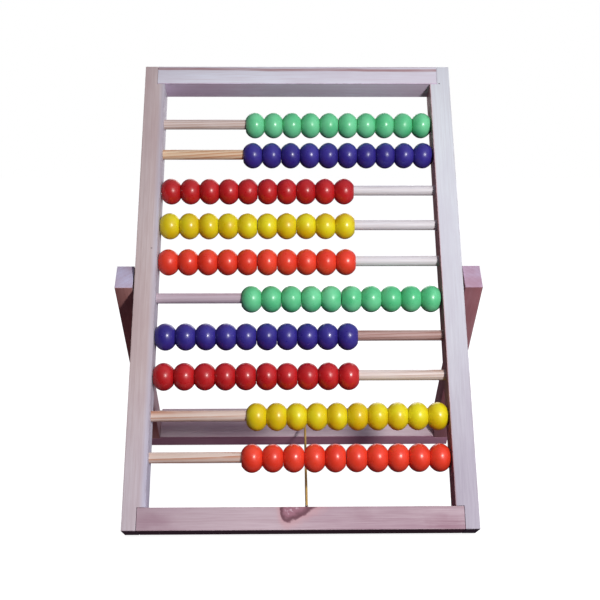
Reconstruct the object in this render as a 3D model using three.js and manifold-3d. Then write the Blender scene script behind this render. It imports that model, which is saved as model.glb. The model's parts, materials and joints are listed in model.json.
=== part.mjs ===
// Bead abacus: a nailed front frame with ten rods of beads, held up at an angle by a
// U-shaped stand that is screwed to the frame's sides and stopped by a cord.
//
// Millimetres, +Z up. X runs to the right as the beads are faced, the front faces -Y.
// The origin is on the table, under the middle of the open abacus.

import * as THREE from 'three';
import { mergeVertices } from 'three/addons/utils/BufferGeometryUtils.js';
import Module from 'manifold-3d';

const wasm = await Module();
wasm.setup();

// ---------- driving dimensions ----------

const GAP = 0.3;                 // air left between two pieces that touch

const FRAME_WIDTH = 305;         // over the outsides of the two stiles
const FRAME_HEIGHT = 460;        // along the stiles
const STOCK_FACE = 19.7;         // width of the frame's sticks, seen from the front
const STOCK_DEPTH = 24.5;        // depth of the same sticks, front to back
const CORNER_LAP = 7.5;          // how far each rail is let into a stile

const ROD_DIAMETER = 9.8;
const ROD_IN_WOOD = 11;          // depth of the blind holes the rods sit in
const ROW_HEIGHTS = [400.5, 366.5, 327, 290, 252.5, 215, 178, 140, 102.5, 65];

const BEAD_DIAMETER = 25.4;
const BEAD_THICKNESS = 18.6;
const THINNER_BEAD_THICKNESS = 18.4;   // the beads of the first and the last row
const THINNEST_BEAD_THICKNESS = 18;    // the lower yellow row's beads
const BEAD_BORE = 11.8;
const BEAD_RIM = 13.4;           // diameter of the flat ring round the bore
const BEADS_PER_GROUP = 5;
const ROUND_SIDES = 8;           // facets round a bead, a rod and a rod hole

const PIVOT_HEIGHT = 230;        // up the front frame, half of its height
const OPEN_ANGLE = 71.3;         // degrees between the legs and the stiles, cord taut
const LEG_THICKNESS = 16.3;
const LEG_DEPTH = 26.4;
const LEG_ABOVE_PIVOT = 9.5;
const LEG_TO_RAIL = 251;         // from the pivot down to the cross rail
const CROSS_RAIL_HEIGHT = 17;
const CROSS_RAIL_DEPTH = 38;
const CROSS_RAIL_NOTCH = 3;       // the legs stand this deep in its ends

const WASHER_DIAMETER = 12;
const WASHER_THICKNESS = 1;
const SCREW_DIAMETER = 4.6;
const SCREW_HEAD = 9.4;          // countersunk, flush with the outside of the leg
const SCREW_HEAD_HEIGHT = 3;
const SCREW_IN_STILE = 15;
const SCREW_POINT = 5;
const SCREW_SIDES = 12;

const NAIL_DIAMETER = 1.9;
const NAIL_HEAD = 4.2;
const NAIL_HEAD_THICKNESS = 0.9;
const NAIL_LENGTH = 34;
const NAIL_POINT = 3;
const NAIL_SIDES = 6;
const NAIL_DEPTHS = { back: -7, front: -17.5 };

const CORD_DIAMETER = 2.2;
const CORD_SIDES = 8;
const CORD_STEPS = 46;
const TACK_DIAMETER = 1.6;
const TACK_HEAD = 4.4;
const TACK_HEAD_HEIGHT = 1;
const TACK_IN_WOOD = 9;
const TACK_POINT = 2;
const FRONT_TACK_X = 5.3;
const FRONT_TACK_DEPTH = -6.5;    // in front of the rear face of the bottom rail
const BACK_TACK_X = 9.2;
const BACK_TACK_DEPTH = 24;      // behind the front edge of the cross rail

// ---------- dimensions that follow ----------

const HALF = FRAME_WIDTH / 2;
const INNER = HALF - STOCK_FACE;
const LEG_INSIDE = HALF + WASHER_THICKNESS + 2 * GAP;
const LEG_OUTSIDE = LEG_INSIDE + LEG_THICKNESS;
const LEG_MIDDLE = (LEG_INSIDE + LEG_OUTSIDE) / 2;
const STAND_LENGTH = LEG_TO_RAIL + CROSS_RAIL_HEIGHT;
const LEG_FRONT = -LEG_DEPTH / 2;
const CROSS_RAIL_BACK = LEG_FRONT + CROSS_RAIL_DEPTH;
const MID_DEPTH = -STOCK_DEPTH / 2;
const RAIL_HEIGHTS = { bottom: STOCK_FACE / 2, top: FRAME_HEIGHT - STOCK_FACE / 2 };
const SIDES = { left: -1, right: 1 };
const OPEN = THREE.MathUtils.degToRad(OPEN_ANGLE);

// A point of the stand, in the front frame's own axes: [back from its rear face, up].
function standPoint(y, z) {
  const back = MID_DEPTH + y * Math.cos(OPEN) - z * Math.sin(OPEN);
  const up = PIVOT_HEIGHT + y * Math.sin(OPEN) + z * Math.cos(OPEN);
  return [back, up];
}

// The front frame stands on its lower rear edge and the stand on its lower front edge,
// so the frame leans back by the slope of the line between the two.
const [footBack, footUp] = standPoint(LEG_FRONT, -STAND_LENGTH);
const LEAN = Math.atan2(footUp, footBack);
const [heelBack, heelUp] = standPoint(CROSS_RAIL_BACK, -STAND_LENGTH);
const FOOTPRINT_FRONT = -STOCK_DEPTH * Math.cos(LEAN);
const FOOTPRINT_BACK = heelBack * Math.cos(LEAN) + heelUp * Math.sin(LEAN);

// ---------- looks ----------

const FRAME_WOOD = { color: 0xc3b8bd, roughness: 0.62, metalness: 0 };
const ROD_WOOD = { color: 0xc4ab9c, roughness: 0.55, metalness: 0 };
const STAND_WOOD = { color: 0xab9ba0, roughness: 0.65, metalness: 0 };
const STEEL = { color: 0x9a9a98, roughness: 0.38, metalness: 1 };
const CORD_TWINE = { color: 0xb8902f, roughness: 0.8, metalness: 0 };
const PAINT = {
  green: { color: 0x5cbf8e, roughness: 0.2, metalness: 0 },
  blue: { color: 0x38307c, roughness: 0.2, metalness: 0 },
  red: { color: 0xb02c2a, roughness: 0.2, metalness: 0 },
  yellow: { color: 0xd0bb25, roughness: 0.2, metalness: 0 },
  orange: { color: 0xd83d2a, roughness: 0.2, metalness: 0 },
};

// Top row first: its paint, the side it is pushed to and the thickness of its beads.
const ROWS = [
  { paint: 'green', side: 'right', thickness: THINNER_BEAD_THICKNESS },
  { paint: 'blue', side: 'right', thickness: BEAD_THICKNESS },
  { paint: 'red', side: 'left', thickness: BEAD_THICKNESS },
  { paint: 'yellow', side: 'left', thickness: BEAD_THICKNESS },
  { paint: 'orange', side: 'left', thickness: BEAD_THICKNESS },
  { paint: 'green', side: 'right', thickness: BEAD_THICKNESS },
  { paint: 'blue', side: 'left', thickness: BEAD_THICKNESS },
  { paint: 'red', side: 'left', thickness: BEAD_THICKNESS },
  { paint: 'yellow', side: 'right', thickness: THINNEST_BEAD_THICKNESS },
  { paint: 'orange', side: 'right', thickness: THINNER_BEAD_THICKNESS },
];

// ---------- solids ----------

// A closed solid from a geometry, without the slivers that a profile leaves on its axis.
function toSolid(source) {
  const bare = source.clone();
  bare.deleteAttribute('normal');
  bare.deleteAttribute('uv');
  const merged = mergeVertices(bare);
  const corners = merged.index.array;
  const triVerts = [];
  for (let i = 0; i < corners.length; i += 3) {
    const [a, b, c] = corners.slice(i, i + 3);
    if (a !== b && b !== c && c !== a) {
      triVerts.push(a, b, c);
    }
  }
  return new wasm.Manifold(new wasm.Mesh({
    numProp: 3,
    vertProperties: new Float32Array(merged.attributes.position.array),
    triVerts: new Uint32Array(triVerts),
  }));
}

function toGeometry(solid) {
  const mesh = solid.getMesh();
  const geometry = new THREE.BufferGeometry();
  geometry.setAttribute('position', new THREE.BufferAttribute(mesh.vertProperties, 3));
  geometry.setIndex(new THREE.BufferAttribute(mesh.triVerts, 1));
  geometry.computeVertexNormals();
  return geometry;
}

// A box from its lowest corner to its highest one.
function box(low, high) {
  const size = high.map((value, i) => value - low[i]);
  const middle = high.map((value, i) => (value + low[i]) / 2);
  return toSolid(new THREE.BoxGeometry(...size).translate(...middle));
}

// A shape turned about the X axis from [radius, x] pairs, outside first, towards +X.
function turned(profile, sides) {
  const points = profile.map(([radius, x]) => new THREE.Vector2(radius, x));
  const geometry = new THREE.LatheGeometry(points, sides);
  geometry.rotateY(Math.PI / sides);
  geometry.rotateZ(-Math.PI / 2);
  return toSolid(geometry);
}

function bar(radius, x0, x1, sides) {
  return turned([[0, x0], [radius, x0], [radius, x1], [0, x1]], sides);
}

// Pieces are drawn for the right side, and this turns them to face the side they are on.
function onSide(solid, side) {
  return side > 0 ? solid : solid.mirror([1, 0, 0]);
}

// ---------- scene graph ----------

const abacus = new THREE.Group();
abacus.name = 'bead_abacus';

// Frame space: Y from the rear face (0) to the front (minus the depth), Z up the stiles.
const frontFrame = new THREE.Group();
frontFrame.rotation.x = -LEAN;
frontFrame.position.y = -(FOOTPRINT_FRONT + FOOTPRINT_BACK) / 2;
abacus.add(frontFrame);

// Stand space: the pivots lie on the X axis and the legs hang along -Z.
const stand = new THREE.Group();
stand.rotation.x = OPEN;
stand.position.set(0, MID_DEPTH, PIVOT_HEIGHT);
frontFrame.add(stand);
abacus.updateMatrixWorld(true);

function addPiece(parent, name, solid, look, position = [0, 0, 0]) {
  const mesh = new THREE.Mesh(toGeometry(solid), new THREE.MeshStandardMaterial(look));
  mesh.name = name;
  mesh.position.set(...position);
  parent.add(mesh);
}

// ---------- nails and tacks ----------

// A nail driven in from a face at x = face, with its head sunk flush.
function nail(face) {
  const shank = NAIL_DIAMETER / 2;
  const head = NAIL_HEAD / 2;
  const seat = face - NAIL_HEAD_THICKNESS;
  const end = face - NAIL_LENGTH;
  return turned([[0, end], [shank, end + NAIL_POINT], [shank, seat], [head, seat],
    [head, face], [0, face]], NAIL_SIDES);
}

function nailHole(face) {
  const shank = NAIL_DIAMETER / 2 + GAP;
  const head = NAIL_HEAD / 2 + GAP;
  const seat = face - NAIL_HEAD_THICKNESS - GAP;
  const end = face - NAIL_LENGTH - GAP;
  return turned([[0, end], [shank, end], [shank, seat], [head, seat],
    [head, face + 1], [0, face + 1]], NAIL_SIDES);
}

// A tack that stands up out of a face at z = 0, with room for the cord under its head.
function tack() {
  const shank = TACK_DIAMETER / 2;
  const head = TACK_HEAD / 2;
  const seat = CORD_DIAMETER + 3 * GAP;
  return turned([[0, -TACK_IN_WOOD], [shank, TACK_POINT - TACK_IN_WOOD], [shank, seat],
    [head, seat], [head * 0.7, seat + TACK_HEAD_HEIGHT], [0, seat + TACK_HEAD_HEIGHT]],
  NAIL_SIDES).rotate([0, -90, 0]);
}

function tackHole() {
  return bar(TACK_DIAMETER / 2 + GAP, -TACK_IN_WOOD - GAP, 1, NAIL_SIDES).rotate([0, -90, 0]);
}

const FRONT_TACK = [FRONT_TACK_X, FRONT_TACK_DEPTH, STOCK_FACE];              // frame space
const BACK_TACK = [BACK_TACK_X, LEG_FRONT + BACK_TACK_DEPTH, -LEG_TO_RAIL];   // stand space

// ---------- front frame: stiles, rails, nails ----------

function stile() {
  const lap = STOCK_FACE + GAP;
  let solid = box([INNER, -STOCK_DEPTH, 0], [HALF, 0, FRAME_HEIGHT]);
  for (const [low, high] of [[-1, lap], [FRAME_HEIGHT - lap, FRAME_HEIGHT + 1]]) {
    const rebate = box([INNER - 1, -STOCK_DEPTH - 1, low], [INNER + CORNER_LAP, 1, high]);
    solid = solid.subtract(rebate);
  }
  const rodHole = bar(ROD_DIAMETER / 2 + GAP, INNER - 1, INNER + ROD_IN_WOOD, ROUND_SIDES);
  for (const height of ROW_HEIGHTS) {
    solid = solid.subtract(rodHole.translate([0, MID_DEPTH, height]));
  }
  for (const height of Object.values(RAIL_HEIGHTS)) {
    for (const depth of Object.values(NAIL_DEPTHS)) {
      solid = solid.subtract(nailHole(HALF).translate([0, depth, height]));
    }
  }
  const screwHole = bar(SCREW_DIAMETER / 2 + GAP, HALF - SCREW_IN_STILE - GAP, HALF + 1,
    SCREW_SIDES);
  return solid.subtract(screwHole.translate([0, MID_DEPTH, PIVOT_HEIGHT]));
}

function rail() {
  const end = INNER + CORNER_LAP - GAP;
  let solid = box([-end, -STOCK_DEPTH, -STOCK_FACE / 2], [end, 0, STOCK_FACE / 2]);
  for (const side of Object.values(SIDES)) {
    for (const depth of Object.values(NAIL_DEPTHS)) {
      solid = solid.subtract(onSide(nailHole(HALF), side).translate([0, depth, 0]));
    }
  }
  return solid;
}

const frontTackHole = tackHole().translate([FRONT_TACK_X, FRONT_TACK_DEPTH, STOCK_FACE / 2]);

addPiece(frontFrame, 'stile_left', onSide(stile(), SIDES.left), FRAME_WOOD);
addPiece(frontFrame, 'stile_right', stile(), FRAME_WOOD);
addPiece(frontFrame, 'top_rail', rail(), FRAME_WOOD, [0, 0, RAIL_HEIGHTS.top]);
addPiece(frontFrame, 'bottom_rail', rail().subtract(frontTackHole), FRAME_WOOD,
  [0, 0, RAIL_HEIGHTS.bottom]);

for (const [railName, height] of Object.entries(RAIL_HEIGHTS)) {
  for (const [sideName, side] of Object.entries(SIDES)) {
    for (const [depthName, depth] of Object.entries(NAIL_DEPTHS)) {
      addPiece(frontFrame, `nail_${railName}_${sideName}_${depthName}`,
        onSide(nail(HALF), side), STEEL, [0, depth, height]);
    }
  }
}

// ---------- rods and beads ----------

// Half a row: five beads rim to rim on one bore, centred on x = 0.
function beadGroup(thickness) {
  const half = thickness / 2;
  const rim = BEAD_RIM / 2;
  const bore = BEAD_BORE / 2;
  const facetAllowance = 1.03;   // corners stand out so that the facets hold the volume
  const bulge = (BEAD_DIAMETER / 2) * facetAllowance;
  const swell = half * 1.1;      // half width of the ellipse before the rims flatten it
  const outline = [];
  for (let i = 0; i < BEADS_PER_GROUP; i += 1) {
    const centre = (i - (BEADS_PER_GROUP - 1) / 2) * thickness;
    outline.push([rim, centre - half]);
    for (const degrees of [-50, -17, 17, 50]) {
      const angle = THREE.MathUtils.degToRad(degrees);
      outline.push([bulge * Math.cos(angle), centre + swell * Math.sin(angle)]);
    }
  }
  const end = (BEADS_PER_GROUP * thickness) / 2;
  outline.push([rim, end], [bore, end], [bore, -end], [rim, -end]);
  return turned(outline, ROUND_SIDES);
}

const ROD_END = INNER + ROD_IN_WOOD - 2 * GAP;

ROWS.forEach(({ paint, side, thickness }, i) => {
  const number = String(i + 1).padStart(2, '0');
  const height = ROW_HEIGHTS[i];
  const groupLength = BEADS_PER_GROUP * thickness;
  const outerCentre = INNER - GAP - groupLength / 2;
  const innerCentre = outerCentre - groupLength - GAP;
  addPiece(frontFrame, `rod_${number}`, bar(ROD_DIAMETER / 2, -ROD_END, ROD_END, ROUND_SIDES),
    ROD_WOOD, [0, MID_DEPTH, height]);
  addPiece(frontFrame, `row_${number}_beads_outer`, beadGroup(thickness), PAINT[paint],
    [SIDES[side] * outerCentre, MID_DEPTH, height]);
  addPiece(frontFrame, `row_${number}_beads_inner`, beadGroup(thickness), PAINT[paint],
    [SIDES[side] * innerCentre, MID_DEPTH, height]);
});

// ---------- stand: legs, cross rail, nails ----------

// The screw's hole, countersunk so that the leg turns freely under its head.
function pivotHole() {
  const shank = SCREW_DIAMETER / 2 + 2 * GAP;
  const head = SCREW_HEAD / 2 + 2 * GAP;
  const seat = LEG_OUTSIDE - SCREW_HEAD_HEIGHT - GAP;
  return turned([[0, LEG_INSIDE - 1], [shank, LEG_INSIDE - 1], [shank, seat],
    [head, LEG_OUTSIDE - GAP], [head, LEG_OUTSIDE + 1], [0, LEG_OUTSIDE + 1]], SCREW_SIDES);
}

// The hole of the nail that is driven up through each end of the cross rail into the leg.
function standNailHole() {
  return nailHole(STAND_LENGTH).rotate([0, 90, 0]).translate([LEG_MIDDLE, 0, 0]);
}

function leg() {
  const end = -LEG_TO_RAIL - CROSS_RAIL_NOTCH + GAP;
  return box([LEG_INSIDE, LEG_FRONT, end], [LEG_OUTSIDE, -LEG_FRONT, LEG_ABOVE_PIVOT])
    .subtract(pivotHole())
    .subtract(standNailHole());
}

// Its ends run under the legs, which stand in notches sawn across them.
function crossRail() {
  const notch = box([LEG_INSIDE - GAP, LEG_FRONT - 1, -LEG_TO_RAIL - CROSS_RAIL_NOTCH],
    [LEG_OUTSIDE + 1, CROSS_RAIL_BACK + 1, 1]);
  const cut = notch.add(standNailHole());
  return box([-LEG_OUTSIDE, LEG_FRONT, -STAND_LENGTH], [LEG_OUTSIDE, CROSS_RAIL_BACK, -LEG_TO_RAIL])
    .subtract(onSide(cut, SIDES.left))
    .subtract(onSide(cut, SIDES.right))
    .subtract(tackHole().translate(BACK_TACK));
}

addPiece(stand, 'cross_rail', crossRail(), STAND_WOOD);
for (const [sideName, side] of Object.entries(SIDES)) {
  addPiece(stand, `leg_${sideName}`, onSide(leg(), side), STAND_WOOD);
  addPiece(stand, `nail_stand_${sideName}`, nail(STAND_LENGTH).rotate([0, 90, 0]), STEEL,
    [side * LEG_MIDDLE, 0, 0]);
}

// ---------- pivots: a countersunk screw on each side, and a washer in the gap ----------

function washer() {
  const bore = SCREW_DIAMETER / 2 + GAP;
  const outer = WASHER_DIAMETER / 2;
  const inside = HALF + GAP;
  const outside = inside + WASHER_THICKNESS;
  return turned([[bore, inside], [outer, inside], [outer, outside], [bore, outside],
    [bore, inside]], SCREW_SIDES);
}

function pivotScrew() {
  const shank = SCREW_DIAMETER / 2;
  const head = SCREW_HEAD / 2;
  const tip = HALF - SCREW_IN_STILE;
  return turned([[0, tip], [shank, tip + SCREW_POINT], [shank, LEG_OUTSIDE - SCREW_HEAD_HEIGHT],
    [head, LEG_OUTSIDE - GAP], [head, LEG_OUTSIDE], [0, LEG_OUTSIDE]], SCREW_SIDES);
}

for (const [sideName, side] of Object.entries(SIDES)) {
  addPiece(stand, `washer_${sideName}`, onSide(washer(), side), STEEL);
  addPiece(stand, `pivot_screw_${sideName}`, onSide(pivotScrew(), side), STEEL);
}

// ---------- cord: tied to a tack on each rail, taut when the stand is open ----------

// World points of the cord's free length, from the front tack to the back one.
const CORD_POINTS = [
  [5.3, -132.6, 20.5],
  [5.95, -87.8, 20.9],
  [6.6, -43.0, 21.7],
  [7.25, 1.8, 22.8],
  [7.9, 46.5, 24.3],
  [8.55, 91.3, 26.1],
  [9.2, 136.1, 28.3],
];

const TIE_RADIUS = TACK_DIAMETER / 2 + GAP + CORD_DIAMETER / 2;
const TIE_SIDES = 10;

// The turn of cord round a tack, lying just above the wood.
function tie(foot, space) {
  const section = [];
  for (let i = 0; i <= CORD_SIDES; i += 1) {
    const angle = (i / CORD_SIDES) * 2 * Math.PI;
    const across = (CORD_DIAMETER / 2) * Math.cos(angle);
    const along = (CORD_DIAMETER / 2) * Math.sin(angle);
    section.push([TIE_RADIUS + across, GAP + CORD_DIAMETER / 2 + along]);
  }
  const ring = turned(section, TIE_SIDES).rotate([0, -90, 0]).translate(foot);
  return toSolid(toGeometry(ring).applyMatrix4(space.matrixWorld));
}

function cordRun() {
  const section = new THREE.Shape();
  section.absarc(0, 0, CORD_DIAMETER / 2, 0, 2 * Math.PI);
  const route = CORD_POINTS.map((point) => new THREE.Vector3(...point));
  return toSolid(new THREE.ExtrudeGeometry(section, {
    curveSegments: CORD_SIDES / 2,
    steps: CORD_STEPS,
    extrudePath: new THREE.CatmullRomCurve3(route),
  }));
}

addPiece(frontFrame, 'tack_front', tack(), STEEL, FRONT_TACK);
addPiece(stand, 'tack_back', tack(), STEEL, BACK_TACK);
addPiece(abacus, 'cord', cordRun().add(tie(FRONT_TACK, frontFrame)).add(tie(BACK_TACK, stand)),
  CORD_TWINE);

export default abacus;
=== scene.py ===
"""A wooden bead abacus that leans on its fold-out stand.

Metres, +Z up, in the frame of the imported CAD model: X runs to the right as the beads are
faced, the front faces -Y, and the origin is on the table under the middle of the abacus.
"""

import json
import math
import random

import bmesh
import bpy
from mathutils import Matrix, Vector


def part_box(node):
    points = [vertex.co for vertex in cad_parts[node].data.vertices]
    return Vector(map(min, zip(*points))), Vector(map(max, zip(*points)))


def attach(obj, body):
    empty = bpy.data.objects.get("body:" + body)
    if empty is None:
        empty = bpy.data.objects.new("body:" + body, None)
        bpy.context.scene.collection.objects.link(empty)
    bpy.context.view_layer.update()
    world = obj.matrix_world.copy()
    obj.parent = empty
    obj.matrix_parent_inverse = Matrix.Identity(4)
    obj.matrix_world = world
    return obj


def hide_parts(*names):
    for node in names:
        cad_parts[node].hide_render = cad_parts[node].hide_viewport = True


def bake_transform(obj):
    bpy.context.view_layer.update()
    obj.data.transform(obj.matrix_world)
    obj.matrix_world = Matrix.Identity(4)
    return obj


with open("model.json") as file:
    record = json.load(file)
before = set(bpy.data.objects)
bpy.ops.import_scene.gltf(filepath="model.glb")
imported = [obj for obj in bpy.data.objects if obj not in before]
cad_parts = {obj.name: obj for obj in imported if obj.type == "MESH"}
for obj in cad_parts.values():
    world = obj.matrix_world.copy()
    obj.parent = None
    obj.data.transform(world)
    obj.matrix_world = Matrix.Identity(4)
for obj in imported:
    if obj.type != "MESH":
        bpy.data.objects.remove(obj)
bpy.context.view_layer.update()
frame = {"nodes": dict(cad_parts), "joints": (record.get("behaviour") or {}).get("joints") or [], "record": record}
RNG = random.Random(1202)

# ---------- sizes, in metres ----------

MM = 0.001
STOCK_FACE = 19.7 * MM
STOCK_DEPTH = 24.5 * MM
LEG_THICKNESS = 16.3 * MM
LEG_DEPTH = 26.4 * MM
CROSS_RAIL_HEIGHT = 17 * MM
CROSS_RAIL_DEPTH = 38 * MM
EDGE_ROUNDING = 0.7 * MM

ROD_DIAMETER = 9.8 * MM
ROD_END_ROUNDING = 0.4 * MM
ROD_WEAR = 0.012               # share by which a rod's radius varies
LOWEST_ROD_HEIGHT = 65 * MM

BEAD_DIAMETER = 25.4 * MM
BEAD_RIM = 13.4 * MM           # the flat ring round the bore
BEAD_BORE = 11.8 * MM
BEAD_BORE_ROUNDING = 0.25 * MM
SMALLEST_BEAD = 0.985          # of the full diameter
BEAD_TILT = 0.6                # degrees, either way
BEAD_REST = 0.06 * MM          # air between a rod and the bead that hangs on it
BEADS_PER_GROUP = 5

NAIL_DIAMETER = 1.9 * MM
NAIL_POINT = 3 * MM
NAIL_HEAD = 4.2 * MM
NAIL_HEAD_THICKNESS = 0.9 * MM
SCREW_DIAMETER = 4.6 * MM
SCREW_POINT = 6 * MM
SCREW_HEAD = 9.3 * MM
SCREW_HEAD_HEIGHT = 3 * MM
SCREW_RECESS = (3.2 * MM, 5.2 * MM, 0.95 * MM)   # cutter of one slot, half of it in the head
WASHER_DIAMETER = 12 * MM
WASHER_BORE = 5.2 * MM
WASHER_ROUNDING = 0.2 * MM
TACK_SHANK = 1.6 * MM
TACK_POINT = 2 * MM
TACK_IN_WOOD = 9 * MM
TACK_HEAD = 3.4 * MM
TACK_HEAD_THICKNESS = 0.6 * MM

CORD_DIAMETER = 2.2 * MM
CORD_PITCH = 5.2 * MM          # length of one turn of its strands
CORD_STEP = 0.6 * MM           # between two rings of its mesh
STRAND_OFFSET = 0.2            # of the cord's diameter, from its middle to a strand's
STRAND_RADIUS = 0.37           # of the cord's diameter
TIE_PITCH = 5.0 * MM
TIE_CLEARANCE = 0.3 * MM

# The cord's free run from the front tack to the back one: the same points as its solid.
CORD_POINTS = [
    (0.0053, -0.1326, 0.0205),
    (0.00595, -0.0878, 0.0209),
    (0.0066, -0.0430, 0.0217),
    (0.00725, 0.0018, 0.0228),
    (0.0079, 0.0465, 0.0243),
    (0.00855, 0.0913, 0.0261),
    (0.0092, 0.1361, 0.0283),
]

ACROSS = Vector((1, 0, 0))


# ---------- where the CAD model is ----------

def centre(node):
    """Middle of a CAD node's box."""
    low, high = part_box(node)
    return (low + high) / 2


def axes_matrix(across, back, up, origin):
    """Matrix from local (x, y, z) to the world, from its three directions and its origin."""
    turned = Matrix((across, back, up)).transposed().to_4x4()
    return Matrix.Translation(origin) @ turned


def front_frame_space():
    """Local Y runs back from the stiles' rear faces and Z runs up them, from their feet."""
    lowest_rod = centre("rod_10")
    up = (centre("rod_01") - lowest_rod).normalized()
    back = up.cross(ACROSS)
    origin = lowest_rod - up * LOWEST_ROD_HEIGHT + back * STOCK_DEPTH / 2
    return axes_matrix(ACROSS, back, up, origin)


def stand_space():
    """Its origin is midway between the pivots. Z runs up the legs and Y runs back."""
    fold = next(j for j in frame["joints"] if j["name"] == "stand_fold")
    opened = Matrix.Rotation(math.radians(fold["range_deg"][1]), 4, "X")
    turned = FRAME_SPACE.to_3x3().to_4x4() @ opened
    return Matrix.Translation(Vector(fold["pos_m"])) @ turned


FRAME_SPACE = front_frame_space()
STAND_SPACE = stand_space()


# ---------- camera and light ----------

CAMERA_PLACE = Vector((-0.0136, -0.9756, 0.3284))
CAMERA_DIRECTION = Vector((0.0154, 0.9893, -0.1448))
SENSOR_WIDTH = 36              # millimetres, like the lens
FOCAL_LENGTH = 60.34

LAMP_TARGET = Vector((0, 0, 0.2))
FLASH_PLACE = Vector((0.40, -0.88, 0.53))
FLASH_COLOUR = (1.0, 0.985, 0.97)
BACK_LAMP_PLACE = Vector((0.15, 1.35, 0.85))
BACK_LAMP_COLOUR = (1.0, 0.97, 0.95)

# The surroundings are brightest towards the upper right.
BRIGHT_SIDE = (0.74, -0.1, 0.66)
BRIGHT_FILL = (0.50, 0.50, 0.59, 1)
DIM_FILL = (0.055, 0.032, 0.045, 1)


def make_camera():
    """In front of the abacus, a little left of it, looking down at it slightly."""
    data = bpy.data.cameras.new("camera")
    camera = bpy.data.objects.new("camera", data)
    bpy.context.scene.collection.objects.link(camera)
    data.sensor_width = SENSOR_WIDTH
    data.lens = FOCAL_LENGTH
    data.clip_start = 0.05
    data.clip_end = 60
    camera.location = CAMERA_PLACE
    camera.rotation_mode = "QUATERNION"
    camera.rotation_quaternion = CAMERA_DIRECTION.to_track_quat("-Z", "Y")
    bpy.context.scene.camera = camera


def make_light():
    """A small studio flash right of the camera and above it, a big soft lamp behind."""
    make_lamp("flash", 0.11, 8.9, FLASH_COLOUR, FLASH_PLACE)
    make_lamp("back_lamp", 1.1, 7.5, BACK_LAMP_COLOUR, BACK_LAMP_PLACE)
    make_surroundings()
    bpy.context.scene.view_settings.view_transform = "Standard"


def make_lamp(name, size, energy, colour, place):
    """A round lamp, size metres across and energy watts strong, aimed at the object."""
    data = bpy.data.lights.new(name, "AREA")
    data.shape = "DISK"
    data.size = size
    data.energy = energy
    data.color = colour
    lamp = bpy.data.objects.new(name, data)
    bpy.context.scene.collection.objects.link(lamp)
    lamp.location = place
    lamp.rotation_mode = "QUATERNION"
    lamp.rotation_quaternion = (LAMP_TARGET - place).to_track_quat("-Z", "Y")
    lamp.visible_camera = False


def make_surroundings():
    """A white backdrop that lights the object dimly, least from the left and from below."""
    world = bpy.data.worlds.new("studio")
    world.use_nodes = True
    tree = world.node_tree
    nodes, links = tree.nodes, tree.links
    direction = nodes.new("ShaderNodeTexCoord")
    towards = nodes.new("ShaderNodeVectorMath")
    lit = nodes.new("ShaderNodeMapRange")
    fill = nodes.new("ShaderNodeMix")
    backdrop = nodes.new("ShaderNodeBackground")
    seen = nodes.new("ShaderNodeLightPath")
    chosen = nodes.new("ShaderNodeMixShader")
    fill.data_type = "RGBA"
    towards.operation = "DOT_PRODUCT"
    towards.inputs[1].default_value = BRIGHT_SIDE
    lit.inputs["From Min"].default_value = -0.25
    lit.inputs["From Max"].default_value = 1.0
    fill.inputs[6].default_value = DIM_FILL
    fill.inputs[7].default_value = BRIGHT_FILL
    backdrop.inputs["Color"].default_value = (1, 1, 1, 1)
    links.new(direction.outputs["Generated"], towards.inputs[0])
    links.new(towards.outputs["Value"], lit.inputs["Value"])
    links.new(lit.outputs["Result"], fill.inputs[0])
    links.new(fill.outputs[2], nodes["Background"].inputs["Color"])
    links.new(seen.outputs["Is Camera Ray"], chosen.inputs["Fac"])
    links.new(nodes["Background"].outputs["Background"], chosen.inputs[1])
    links.new(backdrop.outputs["Background"], chosen.inputs[2])
    links.new(chosen.outputs["Shader"], nodes["World Output"].inputs["Surface"])
    bpy.context.scene.world = world


# ---------- node materials ----------

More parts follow.
